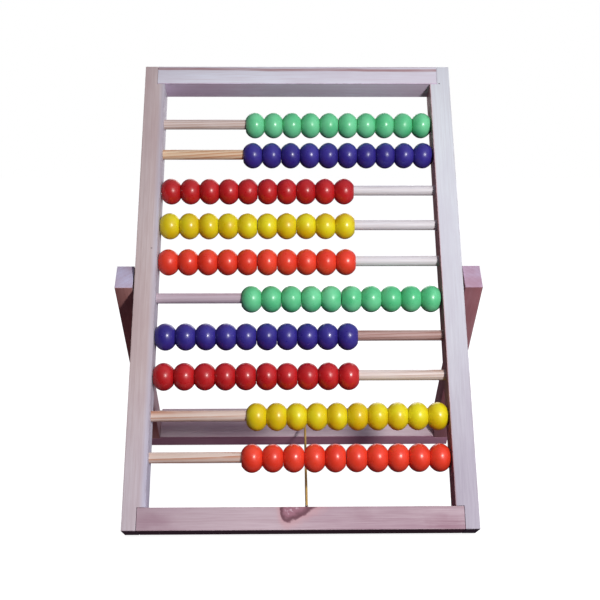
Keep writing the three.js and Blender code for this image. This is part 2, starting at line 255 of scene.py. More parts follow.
class Shader:
    """A material built one node at a time. Sockets are passed from node to node."""

    def __init__(self, name):
        self.material = bpy.data.materials.new(name)
        self.material.use_nodes = True
        self.tree = self.material.node_tree
        self.tree.nodes.clear()
        self.surface = self.node("ShaderNodeBsdfPrincipled")
        output = self.node("ShaderNodeOutputMaterial")
        self.tree.links.new(self.surface.outputs["BSDF"], output.inputs["Surface"])

    def node(self, kind, inputs=None, **settings):
        made = self.tree.nodes.new(kind)
        for key, value in settings.items():
            setattr(made, key, value)
        for key, value in (inputs or {}).items():
            self.feed(made.inputs[key], value)
        return made

    def feed(self, socket, value):
        if isinstance(value, bpy.types.NodeSocket):
            self.tree.links.new(value, socket)
        else:
            socket.default_value = value

    def finish_with(self, **inputs):
        for key, value in inputs.items():
            self.feed(self.surface.inputs[key.replace("_", " ")], value)
        return self.material

    def place(self):
        """The object's own coordinates, in metres."""
        return self.node("ShaderNodeTexCoord").outputs["Object"]

    def in_space(self, space):
        """Coordinates of a local space, for a piece whose mesh holds world coordinates."""
        back = space.inverted()
        moved = self.node("ShaderNodeMapping", {
            "Vector": self.place(),
            "Location": back.to_translation(),
            "Rotation": back.to_euler(),
        })
        return moved.outputs["Vector"]

    def scaled(self, vector, scale, offset=(0, 0, 0)):
        return self.node("ShaderNodeMapping", {
            "Vector": vector, "Scale": scale, "Location": offset,
        }).outputs["Vector"]

    def parts(self, vector):
        return self.node("ShaderNodeSeparateXYZ", {"Vector": vector}).outputs

    def noise(self, vector, scale, detail=3.0, roughness=0.5, distortion=0.0):
        return self.node("ShaderNodeTexNoise", {
            "Vector": vector, "Scale": scale, "Detail": detail,
            "Roughness": roughness, "Distortion": distortion,
        }).outputs["Fac"]

    def math(self, operation, *values):
        made = self.node("ShaderNodeMath", operation=operation)
        for socket, value in zip(made.inputs, values):
            self.feed(socket, value)
        return made.outputs[0]

    def span(self, value, low, high, to_low=0.0, to_high=1.0):
        """Value rescaled smoothly from low..high to to_low..to_high, and clamped there."""
        return self.node("ShaderNodeMapRange", {
            "Value": value, "From Min": low, "From Max": high,
            "To Min": to_low, "To Max": to_high,
        }, interpolation_type="SMOOTHSTEP").outputs["Result"]

    def blend(self, factor, below, above, mode="MIX"):
        made = self.node("ShaderNodeMix", data_type="RGBA", blend_type=mode)
        for index, value in ((0, factor), (6, below), (7, above)):
            self.feed(made.inputs[index], value)
        return made.outputs[2]

    def bump(self, height, strength, distance):
        return self.node("ShaderNodeBump", {
            "Height": height, "Strength": strength, "Distance": distance,
        }).outputs["Normal"]


def srgb(red, green, blue):
    """A linear colour from display values of 0 to 255."""
    def linear(value):
        share = value / 255
        return share / 12.92 if share <= 0.04045 else ((share + 0.055) / 1.055) ** 2.4
    return (linear(red), linear(green), linear(blue), 1)


# ---------- wood ----------

RING_SPACING = 4.2 * MM
RING_WANDER = 9.0

STREAK = srgb(146, 88, 84)
SMEAR = srgb(132, 88, 106)
HOLE = srgb(58, 42, 42)
WORN_EDGE = srgb(122, 92, 92)
KNOT_HALO = srgb(196, 138, 142)
KNOT_HEART = srgb(144, 90, 108)
KNOT_CHIPS = srgb(206, 178, 190)
KNOT_OUTLINE = srgb(96, 46, 62)


def grain(shader, place, heart, spacing, wander, seed):
    """Year rings cut lengthwise: 0 in the pale early wood to 1 in the darker late wood."""
    shifted = shader.scaled(place, (1, 1, 0.045), (heart[0], heart[1], seed))
    wave = shader.node("ShaderNodeTexWave", {
        "Vector": shifted, "Scale": 2 * math.pi / (20 * spacing), "Distortion": wander,
        "Detail": 2.0, "Detail Scale": 0.16, "Detail Roughness": 0.55,
    }, wave_type="RINGS", rings_direction="Z", wave_profile="SAW")
    return shader.math("POWER", wave.outputs["Fac"], 2.2)


def fibres(shader, place, seed):
    """Fine streaks along the stick."""
    return shader.noise(shader.scaled(place, (1, 1, 0.02), (seed, 0, 0)), 1500, 4, 0.65)


def spike_knot(shader, place, middle, left, right, depth):
    """Distance from a knot that an edge cuts through: 1 on its outline, 0 at its heart.

    It hangs down from the upper edge, steep on the left and drawn out to the right, and
    narrows to nothing at half the depth of the wood.
    """
    x, y, z = shader.parts(place)
    uneven = shader.noise(place, 150, 3, 0.5)
    along = shader.math("SUBTRACT", z, middle[1])
    below = shader.math("ABSOLUTE", shader.math("SUBTRACT", x, middle[0]))
    down = shader.math("DIVIDE", below, depth)
    to_left = shader.math("DIVIDE", shader.math("MINIMUM", along, 0.0), left)
    to_right = shader.math("DIVIDE", shader.math("MAXIMUM", along, 0.0), right)
    away = shader.math("ADD", hypotenuse(shader, to_left, down), to_right)
    away = shader.math("ADD", away, shader.span(y, -11.5 * MM, 1 * MM, 0, 2.0))
    return shader.math("ADD", away, shader.span(uneven, 0.3, 0.7, -0.08, 0.08))


def hypotenuse(shader, one, two):
    """Distance from the origin, from its two legs."""
    squares = [shader.math("MULTIPLY", side, side) for side in (one, two)]
    return shader.math("SQRT", shader.math("ADD", *squares))


def pit(shader, place, middle, radius):
    """1 inside a small round hole in the front face."""
    x, _, z = shader.parts(place)
    across = shader.math("SUBTRACT", x, middle[0])
    along = shader.math("SUBTRACT", z, middle[1])
    away = hypotenuse(shader, across, along)
    return shader.span(away, radius * 0.7, radius * 1.2, 1, 0)


def streak_mask(shader, place, height, slope, wobble, thickness, seed):
    """1 along a dark line that wanders round a height on the front face."""
    x, _, z = shader.parts(place)
    along = shader.noise(shader.scaled(place, (0, 0, 1), (seed, 0, 0)), 11, 2, 0.5)
    fray = shader.noise(shader.scaled(place, (1, 1, 0.05), (seed, 0, 0)), 500, 3, 0.6)
    level = shader.math("ADD", shader.math("MULTIPLY", z, slope), height)
    line = shader.math("ADD", level, shader.span(along, 0.25, 0.75, -wobble, wobble))
    away = shader.math("ABSOLUTE", shader.math("SUBTRACT", x, line))
    soft = shader.span(away, thickness * 0.25, thickness, 1, 0)
    return shader.math("MULTIPLY", soft, shader.span(fray, 0.25, 0.6, 0.5, 1))


def smear_mask(shader, place, middle, size):
    """1 in the middle of a dark blotch on the front face, falling softly to 0 round it."""
    across, along = size
    centred = shader.scaled(place, (1 / across, 0.25 / across, 1 / along),
                            (-middle[0] / across, 0, -middle[1] / along))
    uneven = shader.noise(place, 70, 3, 0.55)
    length = shader.node("ShaderNodeVectorMath", {0: centred}, operation="LENGTH")
    ragged = shader.math("ADD", length.outputs["Value"],
                         shader.span(uneven, 0.3, 0.7, -0.25, 0.25))
    return shader.span(ragged, 0.1, 1.2, 1, 0)


def edge_mask(shader, place, half_face, half_depth):
    """1 on the long edges of a stick, 0 over its faces, uneven along the edge."""
    x, y, _ = shader.parts(place)
    across = shader.math("DIVIDE", shader.math("ABSOLUTE", x), half_face)
    deep = shader.math("DIVIDE", shader.math("ABSOLUTE", y), half_depth)
    both = shader.math("MINIMUM", across, deep)
    uneven = shader.noise(place, 45, 4, 0.7)
    return shader.math("MULTIPLY", shader.span(both, 0.86, 0.99),
                       shader.span(uneven, 0.35, 0.65))


def clean_wood(shader, place, rings, fine, look):
    """Rings and fibres in two tones, with clouds of a stain."""
    pale, dark, contrast, seed = look["pale"], look["dark"], look["contrast"], look["seed"]
    clouds = shader.noise(shader.scaled(place, (1, 1, 0.3), (0, seed, 0)), 24, 4, 0.6)
    drift = shader.noise(shader.scaled(place, (1, 1, 0.2), (seed, seed, 0)), 9, 3, 0.6)
    strength = shader.span(drift, 0.3, 0.7, contrast * 0.35, contrast)
    colour = shader.blend(shader.math("MULTIPLY", rings, strength), pale, dark)
    colour = shader.blend(shader.span(fine, 0.35, 0.7, 0, 0.3), colour, dark)
    return shader.blend(shader.span(clouds, 0.38, 0.68, 0, 0.75), colour, look["stain"])


def marked(shader, place, colour, look):
    """The wood's colour with its shades, then its streaks, then its smears.

    A shade is (axis, start, end, tint): the tint multiplies the colour and comes in from
    start to end along a local axis.
    """
    # Most shades paint light or shade onto a single face of a stick.
    for axis, start, end, tint in look["shades"]:
        come_in = shader.span(shader.parts(place)[axis], start, end)
        colour = shader.blend(come_in, colour, tint, mode="MULTIPLY")
    for line in look["streaks"]:
        mask = streak_mask(shader, place, seed=look["seed"], **line)
        colour = shader.blend(shader.math("MULTIPLY", mask, 0.75), colour, STREAK)
    for middle, size, depth in look["smears"]:
        mask = smear_mask(shader, place, middle, size)
        colour = shader.blend(shader.math("MULTIPLY", mask, depth), colour, SMEAR)
    return colour


def with_knot(shader, place, colour, height, knot):
    """Colour and height with a dark chipped knot in a reddish halo."""
    away = spike_knot(shader, place, **knot)
    halo = shader.span(away, 0.95, 1.7, 0.45, 0)
    outline = shader.math("MULTIPLY", shader.span(away, 0.5, 0.84),
                          shader.span(away, 0.9, 1.08, 1, 0))
    chips = shader.math("MULTIPLY", shader.span(shader.noise(place, 420, 2, 0.5), 0.52, 0.6),
                        shader.span(away, 0.35, 0.6, 1, 0))
    colour = shader.blend(halo, colour, KNOT_HALO)
    colour = shader.blend(shader.span(away, 0.86, 1.04, 0.9, 0), colour, KNOT_HEART)
    colour = shader.blend(shader.math("MULTIPLY", chips, 0.6), colour, KNOT_CHIPS)
    colour = shader.blend(shader.math("MULTIPLY", outline, 0.95), colour, KNOT_OUTLINE)
    return colour, shader.math("ADD", height, shader.math("MULTIPLY", outline, 1.5))


def with_pit(shader, place, colour, height, middle, radius, depth):
    """Colour and height with a small hole."""
    mask = shader.math("MULTIPLY", pit(shader, place, middle, radius), depth)
    colour = shader.blend(mask, colour, HOLE)
    return colour, shader.math("SUBTRACT", height, shader.math("MULTIPLY", mask, 4.0))


def wood(name, space, look):
    """Planed bare softwood. In its space X crosses the front face and Z runs along it."""
    look = PLAIN_LOOK | look
    shader = Shader(name)
    place = shader.in_space(space)
    rings = grain(shader, place, look["heart"], RING_SPACING, RING_WANDER, look["seed"])
    fine = fibres(shader, place, look["seed"])
    colour = clean_wood(shader, place, rings, fine, look)
    colour = marked(shader, place, colour, look)
    height = shader.math("ADD", shader.math("MULTIPLY", fine, 0.7), rings)
    for knot in look["knots"]:
        colour, height = with_knot(shader, place, colour, height, knot)
    for hole in look["pits"]:
        colour, height = with_pit(shader, place, colour, height, *hole)
    edges = edge_mask(shader, place, *look["half"])
    colour = shader.blend(shader.math("MULTIPLY", edges, 0.3), colour, WORN_EDGE)
    rough = shader.span(fine, 0.3, 0.7, 0.5, 0.68)
    normal = shader.bump(height, 0.3, 0.2 * MM)
    return shader.finish_with(Base_Color=colour, Roughness=rough, Normal=normal)


def stick_space(space, middle, along):
    """A space at the middle of a stick. along is "up" or "across" the space it belongs to.

    X crosses the front face, Y goes back and Z runs along the stick. On a stick that lies
    across, X points down.
    """
    if along == "up":
        return space @ Matrix.Translation(middle)
    upright = Matrix(((0, 0, 1), (0, 1, 0), (-1, 0, 0))).to_4x4()
    return space @ Matrix.Translation(middle) @ upright


def ease_edges(node):
    """Rounds the edges of a CAD stick, and the rims of its holes, a little."""
    stick = frame["nodes"][node]
    stick.modifiers.new("join", "WELD").merge_threshold = 0.01 * MM
    flat = stick.modifiers.new("flatten", "DECIMATE")
    flat.decimate_type = "DISSOLVE"
    flat.angle_limit = math.radians(1.5)
    soft = stick.modifiers.new("ease", "BEVEL")
    soft.width = EDGE_ROUNDING
    soft.segments = 3
    soft.angle_limit = math.radians(50)
    soft.harden_normals = True
    stick.data.shade_smooth()


def paint_node(node, material):
    """Gives a CAD stick its own material."""
    slots = frame["nodes"][node].data.materials
    slots.clear()
    slots.append(material)


# Local axes of a stick, for its shades.
FACE, DEPTH, LENGTH = 0, 1, 2

# Tints that paint shade on the sticks' undersides, where little light falls, and paint pale bluish light on the
# legs' end grain, which faces up.
# Painted shade: darkens faces that look down.
PAINTED_UNDER_SHADE = (0.28, 0.22, 0.26, 1)
# Painted light: brightens the up-facing end grain and turns it bluish, beyond the wood's own colour.
PAINTED_END_GRAIN_LIGHT = (1.12, 1.5, 1.85, 1)
# Painted shade on the feet of the stiles.
FOOT_PAINTED_SHADE = (LENGTH, -229.2 * MM, -229.9 * MM, PAINTED_UNDER_SHADE)
# Painted light on the legs' top ends.
LEG_TOP_PAINTED_LIGHT = (LENGTH, 130.8 * MM, 131.4 * MM, PAINTED_END_GRAIN_LIGHT)

PLAIN_LOOK = dict(
    contrast=0.22, half=(STOCK_FACE / 2, STOCK_DEPTH / 2),
    knots=(), streaks=(), pits=(), smears=(), shades=())


def left_stile_look():
    """Pale, with painted bluish light towards its inner edge, a faint spot above the pivot and painted shade under
    its foot.
    """
    return dict(
        pale=srgb(202, 188, 187), dark=srgb(158, 126, 120), stain=srgb(182, 160, 160),
        heart=(0.05, 0.02), seed=0.3,
        pits=[((4.5 * MM, 31 * MM), 0.9 * MM, 0.45)],
        # Painted light: the inner side, which faces the light, made paler and bluer.
        shades=[(FACE, 3.5 * MM, 9.6 * MM, (0.99, 1.14, 1.3, 1)),
                (LENGTH, -60 * MM, -200 * MM, (0.98, 1.03, 1.12, 1)),
                # Painted shade under its foot.
                FOOT_PAINTED_SHADE])


def right_stile_look():
    """The palest stick, with painted shade darkening it towards its foot and on its inner side, and a nail hole
    near its top.
    """
    return dict(
        pale=srgb(211, 217, 223), dark=srgb(182, 174, 180), stain=srgb(196, 196, 206),
        heart=(-0.06, 0.03), seed=1.7, contrast=0.12,
        pits=[((-0.5 * MM, 210.5 * MM), 0.7 * MM, 1.0)],
        # Painted shade: the stick darkens towards its foot.
        shades=[(LENGTH, 120 * MM, -220 * MM, (0.62, 0.55, 0.61, 1)),
                # Painted shade: darker and redder on the inner side, which faces away from the light.
                (FACE, -8.8 * MM, -9.8 * MM, (0.9, 0.5, 0.48, 1)),
                # Painted shade under its foot.
                FOOT_PAINTED_SHADE])


def top_rail_look():
    """Pale, with a reddish streak along its upper half and painted light on its underside."""
    return dict(
        pale=srgb(218, 222, 233), dark=srgb(178, 152, 156), stain=srgb(200, 192, 204),
        heart=(0.04, 0.05), seed=2.9, contrast=0.18,
        # Painted light: brightens the underside, which catches light from below.
        shades=[(FACE, 8.8 * MM, 9.8 * MM, (1.16, 1.0, 1.14, 1))],
        streaks=[dict(height=-6.4 * MM, slope=0.008, wobble=0.9 * MM, thickness=2.4 * MM)])


def bottom_rail_look():
    """Darker and redder, with a knot left of the middle, a dark patch on the right and painted shade underneath.
    """
    return dict(
        pale=srgb(194, 174, 182), dark=srgb(148, 110, 122), stain=srgb(166, 132, 148),
        heart=(0.03, -0.06), seed=4.1,
        knots=[dict(middle=(-9.8 * MM, -10.5 * MM), left=7.5 * MM, right=26 * MM,
                    depth=13.5 * MM)],
        smears=[((6 * MM, 126 * MM), (10 * MM, 24 * MM), 0.6),
                ((-3 * MM, 52 * MM), (10 * MM, 12 * MM), 0.3),
                ((0.0, -125 * MM), (14 * MM, 20 * MM), 0.25)],
        shades=[(LENGTH, -60 * MM, 100 * MM, (0.76, 0.70, 0.73, 1)),
                # Painted shade on the underside.
                (FACE, 9.2 * MM, 9.8 * MM, PAINTED_UNDER_SHADE)])


def cross_rail_look():
    """Like the bottom rail, with painted shade making its front ruddy and painted light making its top pale."""
    return dict(
        pale=srgb(196, 178, 184), dark=srgb(150, 112, 122), stain=srgb(168, 134, 152),
        heart=(0.05, 0.04), seed=5.3, half=(CROSS_RAIL_HEIGHT / 2, CROSS_RAIL_DEPTH / 2),
        # Painted shade: the front, which faces down, darker and redder.
        shades=[(DEPTH, -18.3 * MM, -18.9 * MM, (0.95, 0.62, 0.78, 1)),
                # Painted light: the top, which faces up, brighter than the wood.
                (FACE, -7.8 * MM, -8.4 * MM, (1.12, 1.14, 1.14, 1))])


def left_leg_look():
    """Reddish, with painted shade making its front redder still and painted light making the end grain on top
    pale.
    """
    return dict(
        pale=srgb(184, 160, 166), dark=srgb(140, 88, 86), stain=srgb(156, 110, 110),
        heart=(-0.04, 0.05), seed=6.7, half=(LEG_THICKNESS / 2, LEG_DEPTH / 2),
        # Painted shade on the front, which faces down; painted light on the top end.
        shades=[(DEPTH, -12.6 * MM, -13.1 * MM, (1.05, 0.72, 0.62, 1)), LEG_TOP_PAINTED_LIGHT])


def right_leg_look():
    """A little darker than the left leg, with less red painted shade on its front and painted light on its top
    end.
    """
    return dict(
        pale=srgb(180, 144, 150), dark=srgb(138, 80, 84), stain=srgb(154, 100, 104),
        heart=(0.04, 0.05), seed=7.9, half=(LEG_THICKNESS / 2, LEG_DEPTH / 2),
        # Painted shade on the front, which faces down; painted light on the top end.
        shades=[(DEPTH, -12.6 * MM, -13.1 * MM, (0.98, 0.82, 0.84, 1)), LEG_TOP_PAINTED_LIGHT])


def make_sticks():
    """The seven wooden sticks keep their CAD shape, with eased edges and a wood each."""
    sticks = [
        ("stile_left", FRAME_SPACE, "up", left_stile_look()),
        ("stile_right", FRAME_SPACE, "up", right_stile_look()),
        ("top_rail", FRAME_SPACE, "across", top_rail_look()),
        ("bottom_rail", FRAME_SPACE, "across", bottom_rail_look()),
        ("cross_rail", STAND_SPACE, "across", cross_rail_look()),
        ("leg_left", STAND_SPACE, "up", left_leg_look()),
        ("leg_right", STAND_SPACE, "up", right_leg_look()),
    ]
    for node, space, along, look in sticks:
        ease_edges(node)
        middle = space.inverted() @ centre(node)
        paint_node(node, wood(f"wood_{node}", stick_space(space, middle, along), look))


# ---------- meshes ----------

def new_piece(name, mesh, material, body, node=None):
    """A piece that rides on a body and, where a node is given, takes that node's place."""
    piece = bpy.data.objects.new(name, mesh)
    bpy.context.scene.collection.objects.link(piece)
    mesh.materials.append(material)
    mesh.shade_smooth()
    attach(piece, body)
    if node:
        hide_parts(node)
    return piece


def turned_mesh(name, profile, sides, space, closed=False):
    """A shape turned about local X from (radius, x) pairs. An end on the axis is a point."""
    build = bmesh.new()
    rings = []
    for radius, x in profile:
        if radius < 1e-7:
            rings.append([build.verts.new((x, 0, 0))])
            continue
        angles = [2 * math.pi * i / sides for i in range(sides)]
        rings.append([
            build.verts.new((x, radius * math.sin(a), radius * math.cos(a))) for a in angles
        ])
    pairs = list(zip(rings, rings[1:]))
    if closed:
        pairs.append((rings[-1], rings[0]))
    for one, two in pairs:
        join_rings(build, one, two)
    bmesh.ops.recalc_face_normals(build, faces=build.faces)
    build.transform(space)
    mesh = bpy.data.meshes.new(name)
    build.to_mesh(mesh)
    build.free()
    return mesh


def join_rings(build, one, two):
    """Faces between two rings of corners. A ring of one corner is the point of a cone."""
    count = max(len(one), len(two))
    for i in range(count):
        j = (i + 1) % count
        corners = [one[i % len(one)], one[j % len(one)], two[j % len(two)], two[i % len(two)]]
        distinct = list(dict.fromkeys(corners))
        if len(distinct) > 2:
            build.faces.new(distinct)


def carve(mesh, cutter):
    """The mesh with the cutter taken out of it."""
    body = bpy.data.objects.new("carved", mesh)
    tool = bpy.data.objects.new("tool", cutter)
    for thing in (body, tool):
        bpy.context.scene.collection.objects.link(thing)
    cut = body.modifiers.new("cut", "BOOLEAN")
    cut.operation = "DIFFERENCE"
    cut.solver = "EXACT"
    cut.object = tool
    graph = bpy.context.evaluated_depsgraph_get()
    made = bpy.data.meshes.new_from_object(body.evaluated_get(graph))
    made.name = mesh.name
    bpy.data.objects.remove(body)
    bpy.data.objects.remove(tool)
    return made


def box_mesh(name, size, space):
    """A box round the origin of a space."""
    build = bmesh.new()
    bmesh.ops.create_cube(build, size=1)
    build.transform(space @ Matrix.Diagonal((*size, 1)))
    mesh = bpy.data.meshes.new(name)
    build.to_mesh(mesh)
    build.free()
    return mesh


# ---------- rods ----------

def rod_wood(name, pale, dark, spacing, contrast, wander, slant):
    """Turned pine whose grain crosses the rod at a slight slant."""
    shader = Shader(name)
    place = shader.place()
    turned = shader.node("ShaderNodeMapping", {
        "Vector": place, "Rotation": (0.4, math.pi / 2 + slant, slant),
    }).outputs["Vector"]
    rings = grain(shader, turned, (0.05, 0.03), spacing, wander, 0.4)
    fine = fibres(shader, turned, 0.7)
    patches = shader.noise(shader.scaled(place, (0.35, 1, 1)), 55, 3, 0.55)
    strength = shader.span(patches, 0.35, 0.62, contrast * 0.35, contrast)
    colour = shader.blend(shader.math("MULTIPLY", rings, strength), pale, dark)
    colour = shader.blend(shader.span(fine, 0.35, 0.7, 0, 0.18), colour, dark)
    rough = shader.span(fine, 0.3, 0.7, 0.42, 0.6)
    normal = shader.bump(shader.math("ADD", fine, rings), 0.25, 0.12 * MM)
    return shader.finish_with(Base_Color=colour, Roughness=rough, Normal=normal)


def rod_profile(length):
    """A dowel with slightly rounded ends and a barely uneven thickness."""
    radius = ROD_DIAMETER / 2 * 0.995
    half = length / 2
    ends = [(0, -half), (radius * 0.92, -half), (radius, -half + ROD_END_ROUNDING)]
    steps = 28
    middle = []
    for i in range(1, steps):
        wear = 1 - ROD_WEAR * RNG.random()
        middle.append((radius * wear, -half + length * i / steps))
    return ends + middle + [(r, -x) for r, x in reversed(ends)]


def make_rods():
    """Ten dowels from top to bottom, turned from six kinds of wood."""
    pale = rod_wood("rod_pale", srgb(216, 204, 198), srgb(160, 112, 84),
                    spacing=2.4 * MM, contrast=0.75, wander=4.0, slant=0.02)
    flame = rod_wood("rod_flame", srgb(222, 200, 168), srgb(178, 100, 44),
                     spacing=3.4 * MM, contrast=1.0, wander=9.0, slant=0.07)
    white = rod_wood("rod_white", srgb(214, 212, 216), srgb(184, 164, 160),
                     spacing=2.6 * MM, contrast=0.35, wander=4.0, slant=0.02)
    dull = rod_wood("rod_dull", srgb(190, 174, 184), srgb(150, 118, 124),
                    spacing=2.8 * MM, contrast=0.5, wander=5.0, slant=0.02)
    ruddy = rod_wood("rod_ruddy", srgb(178, 148, 142), srgb(132, 78, 64),
                     spacing=2.8 * MM, contrast=0.9, wander=6.0, slant=0.03)
    cream = rod_wood("rod_cream", srgb(216, 200, 188), srgb(176, 104, 60),
                     spacing=3.2 * MM, contrast=0.9, wander=6.0, slant=0.03)
    woods = [pale, flame, white, white, white, dull, ruddy, pale, cream, cream]
    for number, material in enumerate(woods, 1):
        node = f"rod_{number:02d}"
        name = f"dowel_{number:02d}"
        low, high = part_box(node)
        mesh = turned_mesh(name, rod_profile(high.x - low.x), 28,
                           Matrix.Translation(centre(node)))
        new_piece(name, mesh, material, "front_frame", node)


# ---------- beads ----------

PAINTS = {
    "green": (srgb(76, 186, 124), srgb(112, 208, 152)),
    "blue": (srgb(44, 35, 124), srgb(56, 48, 141)),
    "red": (srgb(172, 22, 26), srgb(190, 32, 34)),
    "yellow": (srgb(212, 182, 6), srgb(222, 212, 24)),
    "orange": (srgb(218, 52, 30), srgb(230, 66, 42)),
}


def paint(colour):
    """Dipped satin paint: clouds in the tint, scuffs, dust and a few dents."""
    deep, bright = PAINTS[colour]
    shader = Shader(f"paint_{colour}")
    place = shader.place()
    clouds = shader.noise(place, 45, 3, 0.5)
    runs = shader.noise(place, 260, 4, 0.6)
    specks = shader.noise(place, 1400, 2, 0.6)
    tint = shader.blend(shader.span(clouds, 0.3, 0.7), deep, bright)
    scuffs = shader.math("MULTIPLY", shader.span(specks, 0.62, 0.72), shader.span(runs, 0.5, 0.7))
    tint = shader.blend(shader.math("MULTIPLY", scuffs, 0.16), tint, srgb(225, 215, 205))
    rough = shader.math("ADD", shader.span(runs, 0.35, 0.7, 0.27, 0.43),
                        shader.math("MULTIPLY", scuffs, 0.25))
    normal = shader.bump(runs, 0.16, 0.3 * MM)
    return shader.finish_with(
        Base_Color=tint, Roughness=rough, Normal=normal, Coat_Weight=0.05, Coat_Roughness=0.18)


def bead_profile(diameter, thickness):
    """A flattened ball with a flat ring round its bore, outside first, then the bore."""
    half = thickness / 2
    swell = half / math.sqrt(1 - (BEAD_RIM / BEAD_DIAMETER) ** 2)
    steps = 18
    reach = math.asin(half / swell)
    outline = []
    for i in range(steps + 1):
        angle = reach * (2 * i / steps - 1)
        outline.append((diameter / 2 * math.cos(angle), swell * math.sin(angle)))
    bore, eased = BEAD_BORE / 2, BEAD_BORE_ROUNDING
    left = [(bore, -half + eased), (bore + eased, -half)]
    right = [(bore + eased, half), (bore, half - eased)]
    return left + outline + right


def make_bead(name, place, thickness):
    """One bead, hanging on its rod: its size, turn and tilt differ a little."""
    size = BEAD_DIAMETER * RNG.uniform(SMALLEST_BEAD, 1.0)
    width = thickness - RNG.uniform(0.1, 0.2) * MM
    drop = (BEAD_BORE - ROD_DIAMETER) / 2 - BEAD_REST
    hang = Matrix.Translation(place - Vector((0, 0, drop)))
    tilt = Matrix.Rotation(math.radians(RNG.uniform(-BEAD_TILT, BEAD_TILT)), 4, "Z")
    turn = Matrix.Rotation(RNG.uniform(0, 2 * math.pi), 4, "X")
    return turned_mesh(name, bead_profile(size, width), 36, hang @ tilt @ turn, closed=True)


def make_group(number, group, paints):
    """The five beads of half a row."""
    node = f"row_{number:02d}_beads_{group}"
    slot = next(s["material_slot"] for s in frame["record"]["subparts"] if s["node"] == node)
    material = paints[slot.removeprefix("paint_")]
    low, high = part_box(node)
    thickness = (high.x - low.x) / BEADS_PER_GROUP
    for i in range(BEADS_PER_GROUP):
        place = centre(node) + ACROSS * (i - (BEADS_PER_GROUP - 1) / 2) * thickness
        name = f"bead_{number:02d}_{group}_{i + 1}"
        mesh = make_bead(name, place, thickness)
        new_piece(name, mesh, material, f"row_{number:02d}_{group}", node)


def make_beads():
    """A hundred beads, ten a row, in an outer and an inner group of five."""
    paints = {colour: paint(colour) for colour in PAINTS}
    for number in range(1, 11):
        for group in ("outer", "inner"):
            make_group(number, group, paints)


# ---------- metal ----------

def steel(name, bright, dark):
    """Bright wire and pressed steel with a little dull bloom and fine scratches."""
    shader = Shader(name)
    place = shader.place()
    bloom = shader.noise(place, 900, 4, 0.6)
    scratches = shader.noise(shader.scaled(place, (1, 0.15, 1)), 5200, 3, 0.6)
    colour = shader.blend(shader.span(bloom, 0.35, 0.7), bright, dark)
    rough = shader.span(scratches, 0.3, 0.7, 0.24, 0.46)
    normal = shader.bump(scratches, 0.15, 0.05 * MM)
    return shader.finish_with(Base_Color=colour, Roughness=rough, Normal=normal, Metallic=1.0)


def domed(radius, base, height, steps=6):
    """Profile of a dome from its rim to the axis."""
    angles = [math.pi / 2 * i / steps for i in range(steps)]
    curve = [(radius * math.cos(a), base + height * math.sin(a)) for a in angles]
    return curve + [(0, base + height)]


def node_span(node, space):
    """Lowest and highest local Z of a CAD node."""
    back = space.inverted()
    heights = [(back @ v.co).z for v in frame["nodes"][node].data.vertices]
    return min(heights), max(heights)


def axial_space(node, side, body_space):
    """A space at the node's outer end. Its X axis is the node's own and points outwards."""
    low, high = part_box(node)
    end = centre(node)
    end.x = high.x if side > 0 else low.x
    outwards = Matrix.Rotation(0 if side > 0 else math.pi, 4, "Z")
    return Matrix.Translation(end) @ body_space.to_3x3().to_4x4() @ outwards


def make_nail(node, body, space, length, material):
    """A wire nail. In its space X runs out of the wood, from 0 at the top of the head."""
    head, shank, thick = NAIL_HEAD / 2, NAIL_DIAMETER / 2, NAIL_HEAD_THICKNESS
    profile = [(0, -length), (shank * 0.5, NAIL_POINT / 2 - length),
               (shank, NAIL_POINT - length), (shank, -thick), (head * 0.95, -thick),
               (head, -thick * 0.7), (head, -thick * 0.35)]
    profile += domed(head * 0.96, -thick * 0.35, thick * 0.35)
    name = f"wire_{node}"
    new_piece(name, turned_mesh(name, profile, 24, space), material, body, node)


def make_corner_nail(rail, side_name, depth, material):
    """Driven through a stile into the end of a rail."""
    node = f"nail_{rail}_{side_name}_{depth}"
    low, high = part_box(node)
    space = axial_space(node, 1 if side_name == "right" else -1, FRAME_SPACE)
    make_nail(node, "front_frame", space, high.x - low.x, material)


def make_stand_nail(side_name, material):
    """Driven up through the cross rail's end into the leg."""
    node = f"nail_stand_{side_name}"
    low, high = node_span(node, STAND_SPACE)
    middle = STAND_SPACE.inverted() @ centre(node)
    head = STAND_SPACE @ Matrix.Translation((middle.x, middle.y, low))
    downwards = head @ Matrix.Rotation(math.pi / 2, 4, "Y")
    make_nail(node, "stand", downwards, high - low, material)


def make_screw(side_name, material):
    """A countersunk wood screw with a cross recess, flush with the leg."""
    node = f"pivot_screw_{side_name}"
    name = f"screw_{side_name}"
    low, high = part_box(node)
    length = high.x - low.x
    head, shank = SCREW_HEAD / 2, SCREW_DIAMETER / 2
    profile = [(0, -length), (shank * 0.55, SCREW_POINT / 2 - length),
               (shank, SCREW_POINT - length), (shank, -SCREW_HEAD_HEIGHT),
               (head * 0.98, -0.35 * MM), (head, -0.25 * MM), (head * 0.985, -0.05 * MM),
               (head * 0.94, 0), (0, 0)]
    space = axial_space(node, 1 if side_name == "right" else -1, STAND_SPACE)
    mesh = turned_mesh(name, profile, 40, space)
    for angle in (20, 110):
        turned = space @ Matrix.Rotation(math.radians(angle), 4, "X")
        recess = turned @ Matrix.Translation((0.2 * MM, 0, 0))
        mesh = carve(mesh, box_mesh("recess", SCREW_RECESS, recess))
    new_piece(name, mesh, material, "front_frame", node)


